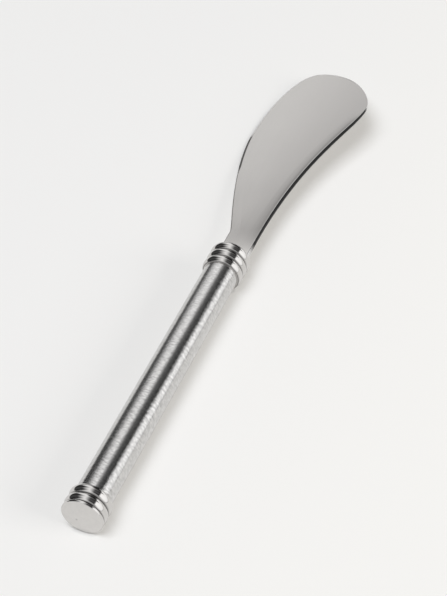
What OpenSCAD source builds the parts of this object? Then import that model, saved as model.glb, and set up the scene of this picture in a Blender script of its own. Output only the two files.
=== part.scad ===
// Butter knife lying at rest: a flat spreading blade, a beaded collar, a tube handle and a beaded end cap.
// The handle's axis runs along +Y from the centre of the cap's flat end. Lengths are in millimetres.

/* [Handle] */
// Outside diameter of the handle tube
tube_od = 8; // [7:0.1:9]
// Wall of the handle tube
tube_wall = 0.5; // [0.3:0.05:0.8]
// Length of the handle tube between the collar and the cap
tube_len = 68.2; // [50:0.1:90]

/* [Beads] */
// Diameter over the beads of the collar and the cap
bead_od = 9.5; // [9.4:0.1:10.5]
// Distance from bead to bead
bead_pitch = 2.25; // [2.1:0.05:2.4]
// Radius of a bead's rounded section
bead_arc_r = 1.35; // [1.3:0.05:1.6]
// Number of beads on the front collar
ferrule_beads = 3; // [2:1:4]
// Number of whole beads on the end cap
cap_beads = 2; // [1:1:3]
// Length faced off the collar's front bead, where the blade seats
ferrule_trim = 0.2; // [0.1:0.05:0.4]
// Length of the part bead that carries the cap's flat end
cap_rim_len = 0.8; // [0.5:0.05:1.2]
// Chamfer round the cap's flat end
cap_chamfer = 0.2; // [0.1:0.05:0.3]

/* [Joints in the handle] */
// Length of each spigot inside the tube
spigot_len = 7; // [4:0.5:12]
// Radial gap between the tube's bore and what sits in it
bore_gap = 0.05; // [0.02:0.01:0.1]
// Width of the tang
tang_w = 4.6; // [3:0.1:5]
// Thickness of the tang
tang_t = 1.2; // [0.8:0.05:1.3]
// Length of the tang behind the blade's shoulders
tang_len = 42; // [25:1:50]
// Gap on each side of the tang in the collar's slot
tang_gap = 0.1; // [0.05:0.01:0.2]

/* [Blade] */
// Length of the blade in front of the collar
blade_len = 70.8; // [60:0.1:85]
// Width over the belly and the crest of the blade
blade_w = 27.5; // [24:0.5:34]
// Width of the blade's neck
neck_w = 8.1; // [7:0.1:8.8]
// Thickness of the blade at its shoulders
root_t = 1.5; // [1.4:0.05:1.8]
// Thickness of the blade's flat at its tip
tip_t = 1.1; // [0.9:0.05:1.3]
// Thickness left at the ground edge
edge_t = 0.5; // [0.3:0.05:0.8]
// Width of the grind along the edge
grind_w = 1.05; // [0.8:0.05:2]
// Rounding of the blade's back
back_round = 0.25; // [0.2:0.05:0.6]

/* [Hidden] */
$fn = 96;

// How far each cut runs past what it cuts
overrun = 1;

// Places along the handle
cap_len = cap_rim_len + cap_beads * bead_pitch;
ferrule_len = ferrule_beads * bead_pitch - ferrule_trim;
ferrule_y = cap_len + tube_len;
blade_y = ferrule_y + ferrule_len;

// Radii that the fits share
bead_r = bead_od / 2;
bore_r = tube_od / 2 - tube_wall;
spigot_r = bore_r - bore_gap;
bead_centre_r = bead_r - bead_arc_r;
face_r = bead_centre_r + sqrt(pow(bead_arc_r, 2) - pow(bead_pitch / 2 - cap_rim_len, 2));

// Places on the blade's edge, as shares of its length from the collar and of half its width from the axis
neck_left_share = 0.12;
neck_right_share = 0.085;
belly_share = 0.67;
crest_share = 0.785;
tip_side_share = -0.31;

// Reach of the edge's curves out of each place, as shares of the length or of half the width
neck_reach_share = 0.026;
belly_reach_shares = [0.23, 0.10];
tip_reach_shares = [0.53, 0.71];
crest_reach_shares = [0.07, 0.10];
back_reach_share = 0.44;

// Shares of the blade's length where the grind starts and is full, on the belly's and the crest's side
belly_grind_shares = [0.40, 0.66];
crest_grind_shares = [0.66, 0.80];
// How far the middle of a rounding lies from its corner, as a share of its radius
round_share = 1 - sqrt(0.5);

curve_steps = 24;

// Corner points of the blade's edge, x across the blade and y from the collar
half_w = blade_w / 2;
root_left = [-neck_w / 2, 0];
neck_left = [-neck_w / 2, neck_left_share * blade_len];
belly = [-half_w, belly_share * blade_len];
tip = [tip_side_share * half_w, blade_len];
crest = [half_w, crest_share * blade_len];
neck_right = [neck_w / 2, neck_right_share * blade_len];
root_right = [neck_w / 2, 0];

// Curves of the edge from the neck round the belly, tip and crest back to the neck
edge_curves = [
  [neck_left, ahead(neck_left, neck_reach_share), ahead(belly, -belly_reach_shares[0]), belly],
  [belly, ahead(belly, belly_reach_shares[1]), aside(tip, -tip_reach_shares[0]), tip],
  [tip, aside(tip, tip_reach_shares[1]), ahead(crest, crest_reach_shares[0]), crest],
  [crest, ahead(crest, -crest_reach_shares[1]), ahead(neck_right, back_reach_share), neck_right]
];
edge_points = concat(
  [root_left],
  [for (c = edge_curves) each [for (i = [0 : curve_steps - 1]) curve_at(c, i / curve_steps)]],
  [neck_right, root_right]
);
last = len(edge_points) - 1;
inward = [for (i = [0 : last]) inward_at(i)];
grind = [for (i = [0 : last]) grind_at(i)];

// Roll that lays the beads and the belly, at its edge or the foot of its grind, on one flat surface
edge_inset = back_round * round_share;
edge_reach = [half_w - edge_inset, edge_t / 2];
foot_reach = [half_w - grind_w, flat_t(belly[1]) / 2];
blade_roll = min(rest_roll(edge_reach), rest_roll(foot_reach));

function rest_roll(reach) = asin(bead_r / norm(reach)) - atan(reach[1] / reach[0]);
function ahead(p, share) = p + [0, share * blade_len];
function aside(p, share) = p + [share * half_w, 0];
function curve_at(c, t) =
  pow(1 - t, 3) * c[0] + 3 * t * pow(1 - t, 2) * c[1] + 3 * pow(t, 2) * (1 - t) * c[2] + pow(t, 3) * c[3];
function ease(t) = let (u = min(max(t, 0), 1)) u * u * (3 - 2 * u);
function step_share(y, shares) = ease((y / blade_len - shares[0]) / (shares[1] - shares[0]));
function inward_at(i) =
  let (along = edge_points[min(i + 1, last)] - edge_points[max(i - 1, 0)])
  [along[1], -along[0]] / norm(along);
function grind_at(i) =
  step_share(edge_points[i][1], edge_points[i][0] < tip[0] ? belly_grind_shares : crest_grind_shares);
function two_triangles(a, b, c, d) = [[a, b, c], [a, c, d]];
function is_triangle(f) = f[0] != f[1] && f[1] != f[2] && f[2] != f[0];
function flat_t(y) = root_t + (tip_t - root_t) * y / blade_len;

// One point of the blade's skin: an edge point moved inward, and its height off the middle plane
function skin_point(i, inset, height) =
  let (p = edge_points[i] + inset * inward[i]) [p[0], p[1], height];
function face_point(i, side) =
  let (
    inset = back_round + (grind_w - back_round) * grind[i],
    y = edge_points[i][1] + inset * inward[i][1]
  )
  skin_point(i, inset, side * flat_t(y) / 2);
function edge_point(i, side) =
  let (back_height = flat_t(edge_points[i][1]) / 2 - edge_inset)
  skin_point(i, edge_inset, side * (back_height + (edge_t / 2 - back_height) * grind[i]));

module along_handle(y) {
  translate([0, y, 0])
    rotate([-90, 0, 0])
      children();
}

module rolled_with_blade() {
  translate([0, blade_y, 0])
    rotate([0, -blade_roll, 0])
      children();
}

// Half section of a row of beads, with its first groove at the given height
module bead_row(height, first_groove) {
  intersection() {
    square([bead_od, height]);
    union() {
      square([tube_od / 2, height]);
      for (k = [0 : ceil(height / bead_pitch)])
        translate([bead_centre_r, first_groove + (k - 0.5) * bead_pitch])
          circle(bead_arc_r);
    }
  }
}

// The tang's bar, with the given gap on its sides, from the blade's shoulders back
module tang_bar(gap, front) {
  width = tang_w + 2 * gap;
  thick = tang_t + 2 * gap;
  translate([-width / 2, -tang_len, -thick / 2])
    cube([width, tang_len + front, thick]);
}

module blade_skin() {
  count = last + 1;
  rings = [
    [for (i = [0 : last]) face_point(i, -1)],
    [for (i = [0 : last]) edge_point(i, -1)],
    [for (i = [0 : last]) skin_point(i, 0, 0)],
    [for (i = [0 : last]) edge_point(i, 1)],
    [for (i = [0 : last]) face_point(i, 1)]
  ];
  top = len(rings) - 1;
  side_faces = [
    for (k = [0 : top - 1], i = [0 : last - 1])
      each two_triangles(k * count + i, k * count + i + 1, (k + 1) * count + i + 1, (k + 1) * count + i)
  ];
  // Strips across each flat, from the belly's side to the crest's side, that close on the tip
  upper_face = [
    for (i = [0 : last / 2 - 1])
      each two_triangles(i, i + 1, last - i - 1, last - i)
  ];
  root_face = [
    for (k = [0 : top - 1])
      each two_triangles(k * count + last, k * count, (k + 1) * count, (k + 1) * count + last)
  ];
  faces = concat(
    side_faces,
    root_face,
    [for (f = upper_face) [for (v = f) v + top * count]],
    [for (f = upper_face) [f[2], f[1], f[0]]]
  );
  polyhedron([for (r = rings) each r], [for (f = faces) if (is_triangle(f)) f]);
}

module blade() {
  color("lightgray")
    rolled_with_blade()
      union() {
        blade_skin();
        tang_bar(0, overrun);
      }
}

module front_ferrule() {
  color("silver")
    difference() {
      along_handle(ferrule_y)
        union() {
          rotate_extrude()
            bead_row(ferrule_len, bead_pitch);
          translate([0, 0, -spigot_len])
            cylinder(r = spigot_r, h = spigot_len + overrun);
        }
      rolled_with_blade()
        tang_bar(tang_gap, overrun);
    }
}

module handle_tube() {
  color("darkgray")
    along_handle(cap_len)
      difference() {
        cylinder(d = tube_od, h = tube_len);
        translate([0, 0, -overrun])
          cylinder(r = bore_r, h = tube_len + 2 * overrun);
      }
}

module resin_core() {
  color("khaki")
    difference() {
      along_handle(cap_len + spigot_len)
        cylinder(r = spigot_r, h = tube_len - 2 * spigot_len);
      rolled_with_blade()
        tang_bar(0, 0);
    }
}

module end_cap() {
  color("silver")
    along_handle(0)
      union() {
        rotate_extrude()
          difference() {
            bead_row(cap_len, cap_rim_len);
            polygon([
              [face_r - cap_chamfer, 0],
              [face_r + bead_od, cap_chamfer + bead_od],
              [face_r + bead_od, 0]
            ]);
          }
        translate([0, 0, cap_len - overrun])
          cylinder(r = spigot_r, h = spigot_len + overrun);
      }
}

blade();
front_ferrule();
handle_tube();
resin_core();
end_cap();
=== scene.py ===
"""Looks of the butter knife: satin blade, polished beads and brushed tube, in soft studio light."""

import math

import bmesh
import bpy
from mathutils import Matrix, Vector


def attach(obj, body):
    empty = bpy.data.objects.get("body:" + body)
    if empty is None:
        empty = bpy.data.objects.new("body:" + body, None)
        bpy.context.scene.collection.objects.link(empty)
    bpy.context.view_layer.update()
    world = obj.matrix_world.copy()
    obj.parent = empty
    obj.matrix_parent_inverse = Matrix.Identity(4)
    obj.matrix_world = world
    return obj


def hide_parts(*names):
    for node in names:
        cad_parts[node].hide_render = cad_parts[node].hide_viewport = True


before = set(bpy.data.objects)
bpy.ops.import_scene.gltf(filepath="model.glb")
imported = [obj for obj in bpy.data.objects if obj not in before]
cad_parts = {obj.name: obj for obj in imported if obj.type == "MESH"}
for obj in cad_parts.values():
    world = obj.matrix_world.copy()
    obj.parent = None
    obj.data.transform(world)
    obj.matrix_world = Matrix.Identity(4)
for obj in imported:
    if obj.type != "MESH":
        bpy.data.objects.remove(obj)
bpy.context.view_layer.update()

MM = 0.001

# Sizes that the part's source gives too, in millimetres
TUBE_R = 4.0
TUBE_WALL = 0.5
TUBE_LEN = 68.2
BEAD_R = 4.75
BEAD_PITCH = 2.25
BEAD_ARC_R = 1.35
FERRULE_BEADS = 3
CAP_BEADS = 2
FERRULE_TRIM = 0.2
CAP_RIM_LEN = 0.8
SPIGOT_LEN = 7.0
BORE_GAP = 0.05
TANG_W = 4.6
TANG_T = 1.2
TANG_LEN = 42.0
TANG_GAP = 0.1
BLADE_LEN = 70.8
BLADE_W = 27.5
NECK_W = 8.1
ROOT_T = 1.5
TIP_T = 1.1
EDGE_T = 0.5
GRIND_W = 1.05
BACK_ROUND = 0.25

# Places along the handle
CAP_LEN = CAP_RIM_LEN + CAP_BEADS * BEAD_PITCH
FERRULE_LEN = FERRULE_BEADS * BEAD_PITCH - FERRULE_TRIM
FERRULE_Y = CAP_LEN + TUBE_LEN
BLADE_Y = FERRULE_Y + FERRULE_LEN

# Radii and insets that follow from the sizes
BORE_R = TUBE_R - TUBE_WALL
SPIGOT_R = BORE_R - BORE_GAP
BEAD_CENTRE_R = BEAD_R - BEAD_ARC_R
EDGE_INSET = BACK_ROUND * (1 - math.sqrt(0.5))

# Places on the blade's edge, as shares of its length from the collar and of half its width
NECK_LEFT_SHARE = 0.12
NECK_RIGHT_SHARE = 0.085
BELLY_SHARE = 0.67
CREST_SHARE = 0.785
TIP_SIDE_SHARE = -0.31

HALF_W = BLADE_W / 2
NECK_LEFT = Vector((-NECK_W / 2, NECK_LEFT_SHARE * BLADE_LEN))
NECK_RIGHT = Vector((NECK_W / 2, NECK_RIGHT_SHARE * BLADE_LEN))
BELLY = Vector((-HALF_W, BELLY_SHARE * BLADE_LEN))
TIP = Vector((TIP_SIDE_SHARE * HALF_W, BLADE_LEN))
CREST = Vector((HALF_W, CREST_SHARE * BLADE_LEN))

# How much the neck's half thickness grows at the collar, and the length that this fades over
NECK_FLARE = 0.12
NECK_FLARE_LEN = 1.2


def half_t(y):
    """Half the thickness of the blade's solid."""
    return (ROOT_T + (TIP_T - ROOT_T) * y / BLADE_LEN) / 2


def flared_t(y):
    """The same with the neck's flare."""
    return half_t(y) + NECK_FLARE * math.exp(-y / NECK_FLARE_LEN)


def rest_roll(across, below):
    return math.asin(BEAD_R / math.hypot(across, below)) - math.atan2(below, across)


# Roll of the blade at rest on its belly and the beads, and the direction of its upper flat
BLADE_ROLL = min(rest_roll(HALF_W - EDGE_INSET, EDGE_T / 2),
                 rest_roll(HALF_W - GRIND_W, half_t(BELLY_SHARE * BLADE_LEN)))
BLADE_UP = (-math.sin(BLADE_ROLL), 0.0, math.cos(BLADE_ROLL))

FLOOR_Z = -BEAD_R * MM


def mix(a, b, share):
    return a + (b - a) * share


def step(value, start, full):
    """0 up to start, 1 from full on, eased between. Start may be the larger one."""
    u = min(max((value - start) / (full - start), 0.0), 1.0)
    return u * u * (3 - 2 * u)


# Shader expressions

class Sock:
    """A socket in a node tree. Operators on it add Math nodes."""

    def __init__(self, tree, out):
        self.tree = tree
        self.out = out

    def __add__(self, other):
        return self.tree.math("ADD", self, other)

    def __radd__(self, other):
        return self.tree.math("ADD", other, self)

    def __sub__(self, other):
        return self.tree.math("SUBTRACT", self, other)

    def __rsub__(self, other):
        return self.tree.math("SUBTRACT", other, self)

    def __mul__(self, other):
        return self.tree.math("MULTIPLY", self, other)

    def __rmul__(self, other):
        return self.tree.math("MULTIPLY", other, self)

    def __truediv__(self, other):
        return self.tree.math("DIVIDE", self, other)

    def __rtruediv__(self, other):
        return self.tree.math("DIVIDE", other, self)

    def __abs__(self):
        return self.tree.math("ABSOLUTE", self)


class Tree:
    """A node tree whose nodes all come from one method."""

    def __init__(self, nodes_of):
        nodes_of.use_nodes = True
        self.tree = nodes_of.node_tree
        self.tree.nodes.clear()

    def add(self, kind, settings=None, sockets=None, out=0):
        """A new node's output. Settings are set before the sockets get their values or links."""
        node = self.tree.nodes.new(kind)
        for name, value in (settings or {}).items():
            setattr(node, name, value)
        for key, value in (sockets or {}).items():
            socket = node.inputs[key]
            if isinstance(value, Sock):
                self.tree.links.new(value.out, socket)
            else:
                socket.default_value = value
        return Sock(self, node.outputs[out]) if node.outputs else None

    def math(self, operation, a, b=0.0):
        return self.add("ShaderNodeMath", {"operation": operation}, {0: a, 1: b})

    def measure(self, operation, a, b):
        """A number from two vectors."""
        return self.add("ShaderNodeVectorMath", {"operation": operation}, {0: a, 1: b}, "Value")

    def split(self, vector):
        """The three numbers of a vector."""
        return [self.add("ShaderNodeSeparateXYZ", {}, {0: vector}, k) for k in range(3)]

    def place(self, kind):
        return self.add("ShaderNodeTexCoord", out=kind)

    def ray(self, kind):
        """1 on rays of this kind."""
        return self.add("ShaderNodeLightPath", out=kind)

    def smooth(self, value, start, full):
        """0 up to start, 1 from full on, smooth between. Start may be the larger one."""
        return self.add("ShaderNodeMapRange", {"interpolation_type": "SMOOTHSTEP"},
                        {"Value": value, "From Min": start, "From Max": full})

    def blend(self, factor, a, b):
        """A colour between a and b, through the Mix node's colour sockets."""
        return self.add("ShaderNodeMix", {"data_type": "RGBA"}, {0: factor, 6: a, 7: b}, 2)

    def noise(self, vector, cells, detail=2.0, rough=0.6):
        """Noise with so many cells to the metre. Three numbers stretch it along the axes."""
        if isinstance(cells, tuple):
            vector = self.add("ShaderNodeMapping", {}, {"Vector": vector, "Scale": cells})
            cells = 1.0
        return self.add("ShaderNodeTexNoise", {}, {"Vector": vector, "Scale": cells,
                                                   "Detail": detail, "Roughness": rough})


def grey(value, warm=0.0):
    return (value * (1 + warm), value, value * (1 - warm), 1.0)


# Finishes

def finish_base(name):
    material = bpy.data.materials.new(name)
    tree = Tree(material)
    return material, tree, tree.place("Object")


def surface(tree, sockets):
    shader = tree.add("ShaderNodeBsdfPrincipled", {}, sockets)
    tree.add("ShaderNodeOutputMaterial", {}, {"Surface": shader})


def steel(tree, colour, rough, sockets=None):
    surface(tree, {"Metallic": 1.0, "Base Color": colour, "Roughness": rough, **(sockets or {})})


def bump(tree, height, depth):
    return tree.add("ShaderNodeBump", {}, {"Height": height, "Strength": 1.0, "Distance": depth})


# Brushed tube: cells of its noises, its colours, and what each noise adds to the roughness
TUBE_LINES = (800.0, 800.0, 4200.0)
TUBE_GRAINS = (1900.0, 1900.0, 3600.0)
TUBE_PATCHES = (220.0, 220.0, 260.0)
TUBE_LINE_SHARE = 0.7
TUBE_STREAK = (0.34, 0.66)
TUBE_DARK = grey(0.50, 0.012)
TUBE_LIGHT = grey(0.72, 0.012)
TUBE_ROUGH = 0.12
TUBE_STREAK_ROUGH = 0.06
TUBE_PATCH_ROUGH = 0.05
TUBE_BUMP = 0.018 * MM
TUBE_BRUSHING = {"Anisotropic": 0.8, "Anisotropic Rotation": 0.25}


def brushed_tube_finish():
    material, tree, place = finish_base("brushed_tube")
    lines = tree.noise(place, TUBE_LINES)
    grains = tree.noise(place, TUBE_GRAINS)
    patches = tree.noise(place, TUBE_PATCHES, detail=3.0)
    streaks = tree.smooth(mix(grains, lines, TUBE_LINE_SHARE), *TUBE_STREAK)
    colour = tree.blend(streaks, TUBE_DARK, TUBE_LIGHT)
    rough = TUBE_ROUGH + TUBE_STREAK_ROUGH * streaks + TUBE_PATCH_ROUGH * patches
    steel(tree, colour, rough, {**TUBE_BRUSHING, "Normal": bump(tree, lines + grains, TUBE_BUMP)})
    return material


# Polished beads: cells of the noises, the colours, and what each layer adds to the roughness
POLISH_MARKS = (300.0, 300.0, 3000.0)
POLISH_CLOUD = 700.0
POLISH_RINGS = 5200.0
POLISH_DARK = grey(0.56, 0.022)
POLISH_LIGHT = grey(0.72, 0.022)
POLISH_RING_SHARE = 0.5
POLISH_ROUGH = 0.05
POLISH_MARK_ROUGH = 0.06
GROOVE_ROUGH = 0.2
POLISH_BUMP = 0.002 * MM

# How far a normal leans along the handle where the flat ends start, and on the beads' front walls
END_LEAN = (0.88, 0.96)
FRONT_LEAN = (0.25, 0.60)

# Painted shade in the grooves, on the beads' front walls and beside the rim, and a real dark speck on
# the flat end:
# where each fades out, and how much of the dark colour it takes
GROOVE_FADE = (4.20 * MM, 4.52 * MM)
RIM_FADE = (0.12 * MM, 0.34 * MM)
SPECK_PLACE = (-1.25 * MM, 1.27 * MM, 0.0)
SPECK_FADE = (0.08 * MM, 0.36 * MM)
GROOVE_PAINTED_SHADE = grey(0.06, 0.03)
WALL_SHADE_AND_SPECK = grey(0.08, 0.03)
GROOVE_SHARE = 0.78
FRONT_SHARE = 0.26
RIM_SHARE = 0.4
SPECK_SHARE = 0.32


def polished_finish():
    material, tree, place = finish_base("polished_steel")
    x, y, along = tree.split(place)
    lean = tree.split(tree.place("Normal"))[2]
    radius = tree.math("SQRT", x * x + y * y)
    marks = tree.noise(place, POLISH_MARKS)
    cloud = tree.noise(place, POLISH_CLOUD, detail=3.0)
    rings = tree.noise(tree.add("ShaderNodeCombineXYZ", {}, {0: radius}), POLISH_RINGS)

    on_beads = 1.0 - tree.smooth(abs(lean), *END_LEAN)
    groove = (1.0 - tree.smooth(radius, *GROOVE_FADE)) * on_beads
    front_wall = tree.smooth(lean, *FRONT_LEAN) * on_beads
    by_rim = (1.0 - tree.smooth(abs(along - CAP_RIM_LEN * MM), *RIM_FADE)) * on_beads
    speck = 1.0 - tree.smooth(tree.measure("DISTANCE", place, SPECK_PLACE), *SPECK_FADE)

    colour = tree.blend(mix(cloud, rings, POLISH_RING_SHARE), POLISH_DARK, POLISH_LIGHT)
    # Painted shade: the grooves are darkened in the colour, where shade falls between the beads
    colour = tree.blend(GROOVE_SHARE * groove, colour, GROOVE_PAINTED_SHADE)
    # Painted shade on the beads' front walls and beside the rim; the speck on the flat end is a real
    # dark mark
    shade_and_speck = FRONT_SHARE * front_wall + RIM_SHARE * by_rim + SPECK_SHARE * speck
    colour = tree.blend(shade_and_speck, colour, WALL_SHADE_AND_SPECK)
    rough = POLISH_ROUGH + POLISH_MARK_ROUGH * marks + GROOVE_ROUGH * groove
    steel(tree, colour, rough, {"Normal": bump(tree, marks + cloud, POLISH_BUMP)})
    return material


# Satin blade: cells of the noises, the colours, and what each layer adds to the roughness
SATIN_LINES = (2600.0, 60.0, 2600.0)
SATIN_CLOUD = 90.0
SATIN_BACK_PAINTED_SHADE = grey(0.37, 0.03)
SATIN_BY_BELLY = grey(0.52, 0.03)
SATIN_CLOUDED = grey(0.50, 0.03)
SATIN_COLLAR_PAINTED_SHEEN = grey(0.68, 0.03)
SATIN_CLOUD_SHARE = 0.2
GROUND_PAINTED_HIGHLIGHT = grey(0.68, 0.01)
BLACK_EDGE_PAINTED = grey(0.03)
SATIN_ROUGH = 0.10
SATIN_LINE_ROUGH = 0.05
SATIN_CLOUD_ROUGH = 0.04
BLACK_EDGE_ROUGH = 0.25

# Cosines to the flat's normal where the back's edge walls, painted near-black, end and where the ground
# bevels end
BLACK_EDGE_FACING = (0.72, 0.93)
GROUND_FACING = (0.950, 0.975)

# The back's near-black edge walls start past the collar, in millimetres, and end at the crest, in shares
# of the length
BLACK_EDGE_START = (1.0, 4.5)
BLACK_EDGE_END_SHARES = (0.768, 0.795)

# The painted highlight by the collar, in millimetres, and the outlines that the flat's painted shade
# runs between, darker by the back, in shares of the crest's distance. The back's outline is the first
# half of a smooth step.
COLLAR_FADE = 10.0
BACK_WIDENING = (0.0, 2.0)
BACK_WIDENING_SCALE = 2.0
BELLY_WIDENING = (0.1, 0.9)
BACK_TINT = (-0.2, 1.0)


def past_collar(length):
    return (BLADE_Y + length) * MM


def blade_finish():
    material, tree, place = finish_base("blade_steel")
    across, along, _ = tree.split(place)
    lines = tree.noise(place, SATIN_LINES, detail=3.0)
    cloud = tree.noise(place, SATIN_CLOUD, rough=0.5)

    facing = abs(tree.measure("DOT_PRODUCT", tree.place("Normal"), BLADE_UP))
    ends = [past_collar(share * BLADE_LEN) for share in BLACK_EDGE_END_SHARES]
    behind_crest = 1.0 - tree.smooth(along, *ends)
    off_collar = tree.smooth(along, *[past_collar(length) for length in BLACK_EDGE_START])
    # Painted reflection: the back's edge walls behind the crest are coloured near-black, standing in for
    # the dark that they mirror
    black_edge = (1.0 - tree.smooth(facing, *BLACK_EDGE_FACING)) * behind_crest * off_collar
    ground = (1.0 - tree.smooth(facing, *GROUND_FACING)) * (1.0 - black_edge)

    to_crest = (along - past_collar(0)) / (CREST.y * MM)
    widening = HALF_W - NECK_W / 2
    back_step = tree.smooth(to_crest, *BACK_WIDENING) * BACK_WIDENING_SCALE
    back = (NECK_W / 2 + widening * back_step) * MM
    belly = (NECK_W / 2 + widening * tree.smooth(to_crest, *BELLY_WIDENING)) * MM
    # Painted shade: the flat's colour darkens towards the back, standing in for the darker reflection
    # there
    from_back = tree.smooth((back - across) / (back + belly), *BACK_TINT)
    # Painted highlight: the neck's colour is lighter by the collar, standing in for the brighter
    # reflection there
    collar_sheen = 1.0 - tree.smooth(along, past_collar(0), past_collar(COLLAR_FADE))

    colour = tree.blend(from_back, SATIN_BACK_PAINTED_SHADE, SATIN_BY_BELLY)
    colour = tree.blend(SATIN_CLOUD_SHARE * cloud, colour, SATIN_CLOUDED)
    colour = tree.blend(collar_sheen, colour, SATIN_COLLAR_PAINTED_SHEEN)
    # Painted highlight: the ground bevels get a brighter colour, standing in for the light band that
    # they mirror
    colour = tree.blend(ground, colour, GROUND_PAINTED_HIGHLIGHT)
    colour = tree.blend(black_edge, colour, BLACK_EDGE_PAINTED)
    rough = (SATIN_ROUGH + SATIN_LINE_ROUGH * lines + SATIN_CLOUD_ROUGH * cloud
             + BLACK_EDGE_ROUGH * black_edge)
    steel(tree, colour, rough)
    return material


RESIN_CLOUD = 400.0
RESIN_DARK = (0.70, 0.62, 0.42, 1.0)
RESIN_LIGHT = (0.78, 0.71, 0.52, 1.0)
RESIN_ROUGH = 0.45
RESIN_CLOUD_ROUGH = 0.15


def resin_finish():
    material, tree, place = finish_base("cast_resin")
    cloud = tree.noise(place, RESIN_CLOUD, detail=4.0)
    surface(tree, {"Base Color": tree.blend(cloud, RESIN_DARK, RESIN_LIGHT),
                   "Roughness": RESIN_ROUGH + RESIN_CLOUD_ROUGH * cloud})
    return material


# Meshes

# Edges that turn by more than this are drawn sharp
SHARP = math.radians(40)


def new_piece(name, bm, material, node, turn=None):
    bmesh.ops.recalc_face_normals(bm, faces=bm.faces)
    mesh = bpy.data.meshes.new(name)
    bm.to_mesh(mesh)
    bm.free()
    mesh.shade_smooth()
    piece = bpy.data.objects.new(name, mesh)
    bpy.context.scene.collection.objects.link(piece)
    piece.data.materials.append(material)
    if turn is not None:
        piece.matrix_world = turn
    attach(piece, "root")
    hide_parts(node)


def loop_edges(bm, loop):
    return [bm.edges.get(ends) or bm.edges.new(ends) for ends in zip(loop, loop[1:] + loop[:1])]


def fill_between(bm, outer, inner):
    """A flat face between two loops of points."""
    bmesh.ops.triangle_fill(bm, use_beauty=True, use_dissolve=False,
                            edges=loop_edges(bm, outer) + loop_edges(bm, inner))


def join_loops(bm, low, high):
    """Walls between two closed loops. A loop of one point is the tip of a cone."""
    count = max(len(low), len(high))
    for k in range(count):
        n = (k + 1) % count
        if len(low) == 1:
            bm.faces.new((low[0], high[n], high[k]))
        elif len(high) == 1:
            bm.faces.new((low[k], low[n], high[0]))
        else:
            bm.faces.new((low[k], low[n], high[n], high[k]))


def sharpen(edges):
    for e in edges:
        if len(e.link_faces) == 2 and e.calc_face_angle(0) > SHARP:
            e.smooth = False


# Turned pieces

# They are made round their own z axis, which this turns to the handle's axis
ALONG_HANDLE = Matrix.Rotation(math.radians(-90), 4, "X")
ROUND_STEPS = 192
BEAD_STEPS = 28
EASE_STEPS = 4
CLOSE = 1e-6

# Rounding of the tube's corners and of the beads' grooves and corners, in millimetres, and the largest
# share of a straight run that it takes up
TUBE_EASE = 0.1
BEAD_EASE = 0.12
EASE_SHARE = 0.4

# Corners flatter than this stay as they are
STRAIGHT = math.radians(176)

# How close to its ends a straight run gets points that hold its shading, if it is longer than LONG_RUN
HOLD = 0.06
LONG_RUN = 5 * HOLD

# The rim of the cap's flat end, in millimetres: its radius, the rounding of its edge, the end of its
# land, and the height that its back wall bends at
RIM_R = 4.64
RIM_ROUND = 0.25
RIM_LAND_END = 0.40
RIM_WALL = 0.70
RIM_STEPS = 8

# Radius of the ring that the collar's flat ends keep round the tang's slot
SLOT_RING_R = 2.8


def pierce(bm, rings, heights, corners):
    """Close both ends of a turned piece round an opening that runs right through it."""
    ends = [[bm.verts.new((x * MM, y * MM, height * MM)) for x, y in corners] for height in heights]
    join_loops(bm, *ends)
    for ring, end in zip(rings, ends):
        fill_between(bm, ring, end)
    sharpen({e for vert in ends[0] + ends[1] for e in vert.link_edges})


def turned(name, outline, material, node, opening=None):
    """A closed outline of (radius, height) points in millimetres, turned round the handle's axis."""
    bm = bmesh.new()
    angles = [2 * math.pi * k / ROUND_STEPS for k in range(ROUND_STEPS)]
    rings = []
    for radius, height in outline:
        around = angles if radius else [0.0]
        rings.append([bm.verts.new((radius * MM * math.cos(a), radius * MM * math.sin(a), height * MM))
                      for a in around])
    for low, high in zip(rings, rings[1:]):
        join_loops(bm, low, high)
    if opening is not None:
        pierce(bm, (rings[0], rings[-1]), (outline[0][1], outline[-1][1]), opening)
    elif len(rings[0]) > 1:
        join_loops(bm, rings[-1], rings[0])
    new_piece(name, bm, material, node, ALONG_HANDLE)


def bend(start, corner, end, steps):
    """Points of the curve from start to end that the corner pulls towards itself."""
    start, corner, end = Vector(start), Vector(corner), Vector(end)
    shares = [k / steps for k in range(steps + 1)]
    return [tuple((1 - t) ** 2 * start + 2 * t * (1 - t) * corner + t ** 2 * end) for t in shares]


def eased(points, radius):
    """The outline with each corner but its ends rounded by a small curve."""
    done = [points[0]]
    for before, corner, after in zip(points, points[1:], points[2:]):
        a = Vector(before) - Vector(corner)
        b = Vector(after) - Vector(corner)
        if a.angle(b) > STRAIGHT:
            done.append(corner)
            continue
        reach = min(radius, a.length * EASE_SHARE, b.length * EASE_SHARE)
        start = Vector(corner) + a.normalized() * reach
        end = Vector(corner) + b.normalized() * reach
        done += bend(start, corner, end, EASE_STEPS)
    done.append(points[-1])
    return done


def held(points):
    """The outline with a point close to each end of its long straight runs, to hold their shading."""
    done = [points[0]]
    for a, b in zip(points, points[1:]):
        run = Vector(b) - Vector(a)
        if run.length > LONG_RUN:
            inner = run.normalized() * HOLD
            done += [tuple(Vector(a) + inner), tuple(Vector(b) - inner)]
        done.append(b)
    return done


def lifted(points, height):
    return [(r, h + height) for r, h in points]


def bead(first, last, centre):
    """Points of one bead's arc between two heights."""
    low = math.asin((first - centre) / BEAD_ARC_R)
    high = math.asin((last - centre) / BEAD_ARC_R)
    angles = [mix(low, high, k / BEAD_STEPS) for k in range(BEAD_STEPS + 1)]
    return [(BEAD_CENTRE_R + BEAD_ARC_R * math.cos(a), centre + BEAD_ARC_R * math.sin(a))
            for a in angles]


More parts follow.
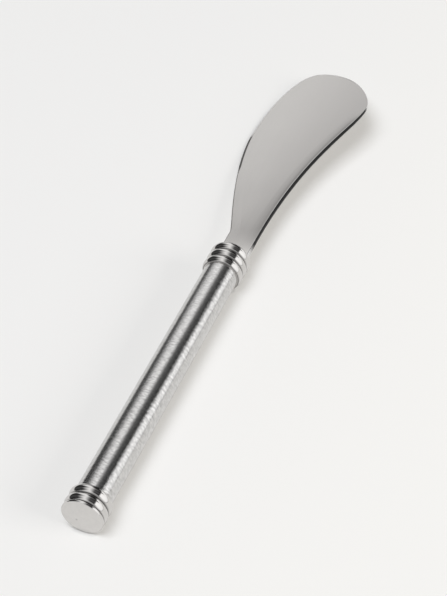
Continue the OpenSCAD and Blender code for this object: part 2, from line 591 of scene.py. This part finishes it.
def bead_row(first_groove, length):
    """The beads' outline from height 0 to the given length, with V grooves a pitch apart."""
    grooves = [0.0]
    place = first_groove
    while place < length - CLOSE:
        if place > CLOSE:
            grooves.append(place)
        place += BEAD_PITCH
    grooves.append(length)
    points = []
    for low, high in zip(grooves, grooves[1:]):
        index = math.floor((0.5 * (low + high) - first_groove) / BEAD_PITCH)
        arc = bead(low, high, first_groove + (index + 0.5) * BEAD_PITCH)
        points += arc if not points else arc[1:]
    return points


def tang_corners(gap):
    """Corners of the tang's section, or of a slot with a gap round it, across and through the blade."""
    half_w, half_h = TANG_W / 2 + gap, TANG_T / 2 + gap
    return [(-half_w, half_h), (-half_w, -half_h), (half_w, -half_h), (half_w, half_h)]


def make_tube(material):
    wall = [(BORE_R, 0), (TUBE_R, 0), (TUBE_R, TUBE_LEN), (BORE_R, TUBE_LEN)]
    outline = held(eased(wall + wall[:2], TUBE_EASE)[1:-1])
    turned("handle_tube_skin", lifted(outline, CAP_LEN), material, "handle_tube")


def make_ferrule(material):
    spigot = [(SLOT_RING_R, -SPIGOT_LEN), (SPIGOT_R, -SPIGOT_LEN), (SPIGOT_R, 0)]
    outline = spigot + bead_row(BEAD_PITCH, FERRULE_LEN) + [(SLOT_RING_R, FERRULE_LEN)]
    cos, sin = math.cos(BLADE_ROLL), math.sin(BLADE_ROLL)
    tang_slot = [(x * cos - z * sin, -x * sin - z * cos) for x, z in tang_corners(TANG_GAP)]
    turned("front_ferrule_beads", lifted(held(eased(outline, BEAD_EASE)), FERRULE_Y), material,
           "front_ferrule", tang_slot)


def make_cap(material):
    beads = [p for p in bead_row(CAP_RIM_LEN, CAP_LEN) if p[1] > CAP_RIM_LEN - CLOSE]
    edge = bend((RIM_R - RIM_ROUND, 0), (RIM_R, 0), (RIM_R, RIM_ROUND), RIM_STEPS)
    wall = bend((RIM_R, RIM_LAND_END), (RIM_R, RIM_WALL), beads[0], RIM_STEPS)
    spigot = [(SPIGOT_R, CAP_LEN), (SPIGOT_R, CAP_LEN + SPIGOT_LEN), (0, CAP_LEN + SPIGOT_LEN)]
    outline = [(0, 0)] + edge + wall + beads[1:] + spigot
    turned("end_cap_beads", held(eased(outline, BEAD_EASE)), material, "end_cap")


# Blade

CURVE_STEPS = 64
NECK_STEPS = 12

# Reach of the edge's curves out of each place, as shares of the length or of half the width
NECK_REACH = 0.026
BELLY_REACHES = (0.23, 0.10)
TIP_REACHES = (0.53, 0.71)
CREST_REACHES = (0.07, 0.10)
BACK_REACH = 0.44

# Sections of the blade's sides, in millimetres inward of the solid's edge and up from its middle.
# The run leaves the flat at RUN_IN. A lip rises beside the back and fades over LIP_LEN.
RUN_IN = 2.6
RUN_SHARES = (1.0, 0.70, 0.48, 0.32, 0.20, 0.12, 0.06, 0.02)
BEVEL_SHARES = (0.0, 0.08, 0.92)
NOSE_STEPS = 10
FLAT_DROP = 0.3
EDGE_IN = 0.05
LIP_IN = 0.3
LIP_LEN = 2.0
LIP_RISE = 0.21
LOWER_BACK_DROP = 0.08

# Widths of the nose and of the bevel, and the bevel's tilts in degrees
NOSE_W = 0.12
NECK_NOSE_W = 0.35
TIP_NOSE_W = 0.08
LOWER_NOSE_W = 0.15
BEVEL_W = 0.58
PLAIN_BEVEL_W = 0.02
TIP_TILT = 21
BELLY_TILT = 10
BACK_TILT = 2

# Shares of the blade's length where a change starts and is full
BELLY_BEVEL = (0.42, 0.47)
BELLY_TO_TIP_TILT = (0.60, 0.68)
BACK_PLAIN = (0.84, 0.76)
LIP_FROM_NECK = (0.05, 0.35)
LIP_FROM_CREST = (0.79, 0.66)
DIP_FROM_BACK = (0.70, 0.77)
DIP_FROM_TIP = (0.92, 0.84)
LOWER_BELLY_GRIND = (0.40, 0.66)
LOWER_CREST_GRIND = (0.77, 0.85)
LOWER_BACK_START = (0.0, 0.1)
PROUD_START = (0.1, 0.3)
PROUD_END = (0.77, 0.68)

# The lip's share at the neck, the dip's depth at the crest as a share of the lip, the width over which
# the tip's bevel fades, and how far the back stands proud of the solid's edge at the neck and beyond
LIP_AT_NECK = 0.3
CREST_DIP = 0.25
TIP_FADE_W = 14.0
BACK_PROUD = (0.12, 0.22)


def ahead(p, share):
    return p + Vector((0, share * BLADE_LEN))


def aside(p, share):
    return p + Vector((share * HALF_W, 0))


def curve_at(c, t):
    return ((1 - t) ** 3 * c[0] + 3 * t * (1 - t) ** 2 * c[1]
            + 3 * t ** 2 * (1 - t) * c[2] + t ** 3 * c[3])


def blade_edge():
    """Points of the edge from the collar round the belly, tip and crest back to the collar."""
    curves = [
        (NECK_LEFT, ahead(NECK_LEFT, NECK_REACH), ahead(BELLY, -BELLY_REACHES[0]), BELLY),
        (BELLY, ahead(BELLY, BELLY_REACHES[1]), aside(TIP, -TIP_REACHES[0]), TIP),
        (TIP, aside(TIP, TIP_REACHES[1]), ahead(CREST, CREST_REACHES[0]), CREST),
        (CREST, ahead(CREST, -CREST_REACHES[1]), ahead(NECK_RIGHT, BACK_REACH), NECK_RIGHT),
    ]
    points = [Vector((-NECK_W / 2, NECK_LEFT.y * k / NECK_STEPS)) for k in range(NECK_STEPS)]
    for c in curves:
        points += [curve_at(c, k / CURVE_STEPS) for k in range(CURVE_STEPS)]
    points += [Vector((NECK_W / 2, NECK_RIGHT.y * (1 - k / NECK_STEPS))) for k in range(NECK_STEPS + 1)]
    return points


def side_section(flat, nose_w, bevel_w, tilt, lip, edge_in):
    """Points (inset, height): a flat that may rise to a lip, then a bevel and a round nose."""
    def run_height(inset):
        return flat + lip * LIP_RISE * math.exp((LIP_IN - inset) / LIP_LEN)

    bevel_in = nose_w + bevel_w
    top = run_height(bevel_in)
    insets = [mix(bevel_in, RUN_IN, share) for share in RUN_SHARES]
    points = [(inset, run_height(inset)) for inset in insets]
    for share in BEVEL_SHARES:
        points.append((bevel_in - bevel_w * share, top - bevel_w * share * math.tan(tilt)))
    low = top - bevel_w * math.tan(tilt)
    for k in range(NOSE_STEPS + 1):
        a = math.pi / 2 * k / NOSE_STEPS
        points.append((mix(edge_in, nose_w, 1 - math.sin(a)), low * math.cos(a)))
    return points


def on_belly_side(p):
    return p.x < TIP.x or (p.x < 0 and p.y < BELLY.y)


def back_edge_in(share):
    """How far the back's edge lies inside the solid's, which it stands proud of up to the crest."""
    proud = mix(*BACK_PROUD, step(share, *PROUD_START))
    return mix(EDGE_IN, -proud, step(share, *PROUD_END))


def upper_section(p, thick):
    share = p.y / BLADE_LEN
    flat = thick - FLAT_DROP
    if on_belly_side(p):
        ground = step(share, *BELLY_BEVEL)
        tilt = math.radians(mix(BELLY_TILT, TIP_TILT, step(share, *BELLY_TO_TIP_TILT)))
        return side_section(flat, mix(NECK_NOSE_W, NOSE_W, ground),
                            mix(PLAIN_BEVEL_W, BEVEL_W, ground), tilt, 0.0, EDGE_IN)
    fade = step(p.x, TIP.x, TIP.x + TIP_FADE_W)
    back = step(share, *BACK_PLAIN)
    lip = step(share, *LIP_FROM_CREST) * mix(LIP_AT_NECK, 1.0, step(share, *LIP_FROM_NECK))
    lip -= CREST_DIP * step(share, *DIP_FROM_BACK) * step(share, *DIP_FROM_TIP)
    nose_w = mix(mix(NOSE_W, TIP_NOSE_W, fade), NOSE_W, back)
    bevel_w = mix(BEVEL_W, PLAIN_BEVEL_W, max(fade, back))
    tilt = math.radians(mix(TIP_TILT, BACK_TILT, back))
    return side_section(flat, nose_w, bevel_w, tilt, lip, back_edge_in(share))


def lower_section(p, thick):
    share = p.y / BLADE_LEN
    belly = on_belly_side(p)
    ground = step(share, *(LOWER_BELLY_GRIND if belly else LOWER_CREST_GRIND))
    bevel_w = GRIND_W - LOWER_NOSE_W
    plain_drop = LOWER_BACK_DROP * step(share, *LOWER_BACK_START)
    drop = mix(plain_drop, thick - EDGE_T / 2, ground)
    return side_section(thick, mix(BACK_ROUND, LOWER_NOSE_W, ground), bevel_w,
                        math.atan(drop / bevel_w), 0.0, EDGE_IN if belly else back_edge_in(share))


def blade_rows(bm):
    """Rows of points from the upper flat over the edge to the lower flat, one at each edge point."""
    edge = blade_edge()
    last = len(edge) - 1
    rows = []
    for i, p in enumerate(edge):
        along = (edge[min(i + 1, last)] - edge[max(i - 1, 0)]).normalized()
        inward = Vector((along.y, -along.x))
        thick = half_t(p.y)
        lower = [(inset, -height) for inset, height in lower_section(p, thick)]
        row = []
        for inset, height in upper_section(p, thick) + lower[-2::-1]:
            q = p + inward * inset
            row.append(bm.verts.new((q.x * MM, q.y * MM, height * flared_t(q.y) / thick * MM)))
        rows.append(row)
    return rows


def make_blade(material):
    bm = bmesh.new()
    rows = blade_rows(bm)
    for a, b in zip(rows, rows[1:]):
        for k in range(len(a) - 1):
            bm.faces.new((a[k], b[k], b[k + 1], a[k + 1]))
    # Strips across both flats, which close on the tip
    last = len(rows) - 1
    for side in (0, -1):
        for i in range(last // 2):
            strip = [rows[k][side] for k in (i, i + 1, last - i - 1, last - i)]
            bm.faces.new(list(dict.fromkeys(strip)))
    # The root's face with the tang behind it
    front = [bm.verts.new((x * MM, 0, z * MM)) for x, z in tang_corners(0)]
    back = [bm.verts.new((x * MM, -TANG_LEN * MM, z * MM)) for x, z in tang_corners(0)]
    join_loops(bm, front, back)
    bm.faces.new(back)
    fill_between(bm, rows[0] + rows[-1][::-1], front)
    sharpen(bm.edges)
    bm.transform(Matrix.Translation((0, BLADE_Y * MM, 0)) @ Matrix.Rotation(-BLADE_ROLL, 4, "Y"))
    new_piece("blade_skin", bm, material, "blade")


polished = polished_finish()
make_tube(brushed_tube_finish())
make_ferrule(polished)
make_cap(polished)
make_blade(blade_finish())
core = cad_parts["resin_core"]
core.data.materials.clear()
core.data.materials.append(resin_finish())


# Floor: paper that glows a little where it is seen, so that it is pale and keeps the knife's shadow

FLOOR_HALF = 4.0
FLOOR_SEGMENTS = 8
PAPER_PAINTED_SHADE = (0.30, 0.295, 0.29, 1.0)
PAPER_PALE = (0.888, 0.882, 0.874, 1.0)
PAPER_ROUGH = 0.9
PAPER_GLOSS = 0.1
CONTACT_REACH = 1.0 * MM
CONTACT_SAMPLES = 16

# The glow on the knife's left and right, far away, and far away as metal mirrors it
GLOW_LEFT = (0.875, 0.855, 0.82, 1.0)
GLOW_RIGHT = (0.935, 0.905, 0.84, 1.0)
GLOW_FAR = grey(0.875)
GLOW_MIRRORED = grey(0.12)
GLOW_SHARE = 0.38

# Where these change, in metres: across the knife, and away from its middle
GLOW_SIDES = (-0.05, 0.06)
FLOOR_MIDDLE = (0.0, 0.075, 0.0)
FAR = (0.13, 0.42)
FAR_MIRRORED = (0.12, 0.35)

SEEN_RAYS = ("Is Camera Ray", "Is Glossy Ray", "Is Transmission Ray")


def floor_finish():
    material, tree, place = finish_base("floor_paper")
    # Painted contact shadow: where the knife is within the contact reach, the paper's colour darkens and
    # its glow is cut
    clear = tree.add("ShaderNodeAmbientOcclusion", {"samples": CONTACT_SAMPLES},
                     {"Distance": CONTACT_REACH}, "AO")
    paper = tree.add("ShaderNodeBsdfPrincipled", {}, {
        "Base Color": tree.blend(clear, PAPER_PAINTED_SHADE, PAPER_PALE),
        "Roughness": PAPER_ROUGH, "Specular IOR Level": PAPER_GLOSS})
    distance = tree.measure("DISTANCE", place, FLOOR_MIDDLE)
    far = tree.smooth(distance, *FAR)
    side = tree.smooth(tree.split(place)[0], *GLOW_SIDES)
    colour = tree.blend(far, tree.blend(side, GLOW_LEFT, GLOW_RIGHT), GLOW_FAR)
    mirrored = tree.ray("Is Glossy Ray") * tree.smooth(distance, *FAR_MIRRORED)
    colour = tree.blend(mirrored, colour, GLOW_MIRRORED)
    glow = tree.add("ShaderNodeEmission", {}, {"Color": colour, "Strength": 1.0})
    seen = sum(tree.ray(kind) for kind in SEEN_RAYS)
    share = mix(GLOW_SHARE, 1.0, far) * seen * clear
    shader = tree.add("ShaderNodeMixShader", {}, {0: share, 1: paper, 2: glow})
    tree.add("ShaderNodeOutputMaterial", {}, {"Surface": shader})
    return material


def make_floor():
    bm = bmesh.new()
    bmesh.ops.create_grid(bm, x_segments=FLOOR_SEGMENTS, y_segments=FLOOR_SEGMENTS, size=FLOOR_HALF)
    mesh = bpy.data.meshes.new("floor")
    bm.to_mesh(mesh)
    bm.free()
    mesh.materials.append(floor_finish())
    floor = bpy.data.objects.new("floor", mesh)
    floor.location = (0, 0, FLOOR_Z)
    bpy.context.scene.collection.objects.link(floor)


make_floor()


# Light: a pale room for the floor and the camera, and a studio with a left and a right panel and a dark
# gap between them that the metal mirrors. Bearings are degrees round the handle's axis, from straight up
# towards +X. A slant is how far a direction leans along that axis, up to 1.

AMBIENT = 0.18
BACKDROP = 0.87

# Slants that the tube mirrors at the photograph's angle
LEVEL_START = (0.48, 0.62)
LEVEL_END = (0.82, 0.70)

# Each panel's edge, with its shifts in degrees and the slants that each shift starts and is full at
LEFT_EDGE = -33.0
LEFT_SHIFTS = ((-9.0, 0.05, 0.30), (5.0, 0.54, 0.63), (13.0, 0.653, 0.690))
LEFT_SPREAD = 133.0
GAP_EDGE = 1.0
GAP_SHIFTS = ((22.0, 0.78, 0.97), (-5.0, 0.30, 0.62))
GAP_SPREAD = 28.0
RIGHT_EDGE = 42.0
RIGHT_SHIFTS = ((-26.0, 0.80, 1.0),)
RIGHT_LEVEL_SHIFT = -16.5

# How softly the panels start, in degrees, and the heights that the left one fades in between
LEFT_SOFT = (-20.0, 20.0)
LEFT_FOOT = (0.05, 0.33)
RIGHT_SOFT = 4.0
RIGHT_LEVEL_SOFT = 8.0

# The left panel falls off towards the gap, with a faint tail
GAP_FALL = (-16.0, 13.0)
TAIL_FALL = (-12.0, 46.0)
TAIL = 0.06
LEVEL_TAIL = 0.17

# The right panel dims at these bearings, and behind
RIGHT_DIM = (0.38, 58.0, 120.0)
RIGHT_LEVEL_DIMS = ((0.16, 62.0, 92.0), (0.6, 87.0, 90.5))
RIGHT_BACK_DIM = (0.4, -0.35, -0.75)

# Strengths, and where the weaker ones hold
LEFT_LIGHT = 1.04
RIGHT_LIGHT = 1.3
SIDE_BOOST = 0.06
SIDE_BOOST_END = (0.15, 0.60)
GAP_LIGHT = 0.02
LEVEL_LIGHT = 0.04
BEHIND_LIGHT = 0.42
BEHIND = (-0.45, -0.68)
LEVEL_HAZE = 0.08
LEVEL_HAZE_END = (-70.0, -25.0)
SIDE_HAZE = 0.05
SIDE_HAZE_END = (0.10, 0.45)


def mirrored_studio(tree):
    x, y, z = tree.split(tree.place("Generated"))
    bearing = tree.math("ARCTAN2", x, z) * math.degrees(1)
    slant = abs(y)
    spread = slant * slant * slant * slant
    level = tree.smooth(slant, *LEVEL_START) * tree.smooth(slant, *LEVEL_END)

    def past_edge(edge, shifts):
        return bearing - edge + sum(shift * tree.smooth(slant, *ends) for shift, *ends in shifts)

    from_left = past_edge(LEFT_EDGE, LEFT_SHIFTS) + LEFT_SPREAD * spread
    to_gap = past_edge(GAP_EDGE, GAP_SHIFTS) + GAP_SPREAD * spread
    from_gap = past_edge(RIGHT_EDGE, RIGHT_SHIFTS) + RIGHT_LEVEL_SHIFT * level

    tail = TAIL + LEVEL_TAIL * level
    fall = 1.0 - (1.0 - tail) * tree.smooth(to_gap, *GAP_FALL) - tail * tree.smooth(to_gap, *TAIL_FALL)
    left = tree.smooth(from_left, *LEFT_SOFT) * fall * tree.smooth(z, *LEFT_FOOT)

    def dimming(value, dim, *ends):
        return dim * tree.smooth(value, *ends)

    level_dim = sum(dimming(bearing, *dim) for dim in RIGHT_LEVEL_DIMS)
    bearing_dim = mix(dimming(bearing, *RIGHT_DIM), level_dim, level)
    soft = RIGHT_SOFT + RIGHT_LEVEL_SOFT * level
    right = (tree.smooth(from_gap / soft, -1.0, 1.0) * (1.0 - bearing_dim)
             * (1.0 - dimming(y, *RIGHT_BACK_DIM)))

    haze = (LEVEL_HAZE * level * (1.0 - tree.smooth(bearing, *LEVEL_HAZE_END))
            + SIDE_HAZE * (1.0 - tree.smooth(slant, *SIDE_HAZE_END)))
    dim_room = (BEHIND_LIGHT * tree.smooth(y, *BEHIND) + haze) * (1.0 - left) * (1.0 - right)
    boost = 1.0 + SIDE_BOOST * (1.0 - tree.smooth(slant, *SIDE_BOOST_END))
    panels = (LEFT_LIGHT * left + RIGHT_LIGHT * right) * boost
    return GAP_LIGHT + LEVEL_LIGHT * level + dim_room + panels


def make_world():
    world = bpy.data.worlds.new("studio")
    bpy.context.scene.world = world
    tree = Tree(world)
    strength = mix(AMBIENT, mirrored_studio(tree), tree.ray("Is Glossy Ray"))
    strength = mix(strength, BACKDROP, tree.ray("Is Camera Ray"))
    shader = tree.add("ShaderNodeBackground", {}, {"Color": grey(1.0), "Strength": strength})
    tree.add("ShaderNodeOutputWorld", {}, {"Surface": shader})


make_world()

LAMP_AIM = (0, 0.08, 0)


def make_lamp(name, place, size, watts, colour):
    data = bpy.data.lights.new(name, "AREA")
    data.shape = "RECTANGLE"
    data.size, data.size_y = size
    data.energy = watts
    data.color = colour
    lamp = bpy.data.objects.new(name, data)
    lamp.location = place
    lamp.rotation_euler = (Vector(LAMP_AIM) - Vector(place)).to_track_quat("-Z", "Y").to_euler()
    lamp.visible_glossy = False
    bpy.context.scene.collection.objects.link(lamp)


make_lamp("key_panel", place=(-0.50, -0.85, 3.0), size=(1.9, 1.9), watts=78.5,
          colour=(0.955, 0.98, 1.02))
make_lamp("fill_panel", place=(1.0, 0.04, 0.48), size=(0.6, 0.5), watts=5.2,
          colour=(1.0, 0.98, 0.94))


# Camera, fitted to the photograph. The sensor spans its longer side, and lengths on it are in pixels.

SENSOR = 36.0
IMAGE_H_PX = 596.0
FOCAL_PX = 1907.0
CAMERA_PLACE = Vector((0.11374, -0.20748, 0.29967))
CAMERA_LOOK = Vector((-0.2623, 0.6521, -0.7113))
CLIP_START = 0.01
CLIP_END = 50.0


def make_camera():
    data = bpy.data.cameras.new("camera")
    data.sensor_width = SENSOR
    data.lens = SENSOR * FOCAL_PX / IMAGE_H_PX
    data.clip_start = CLIP_START
    data.clip_end = CLIP_END
    camera = bpy.data.objects.new("camera", data)
    look = CAMERA_LOOK.normalized()
    right = look.cross(Vector((0, 0, 1))).normalized()
    turn = Matrix((right, right.cross(look), -look)).transposed().to_4x4()
    camera.matrix_world = Matrix.Translation(CAMERA_PLACE) @ turn
    bpy.context.scene.collection.objects.link(camera)
    bpy.context.scene.camera = camera


make_camera()
bpy.context.scene.view_settings.view_transform = "Standard"
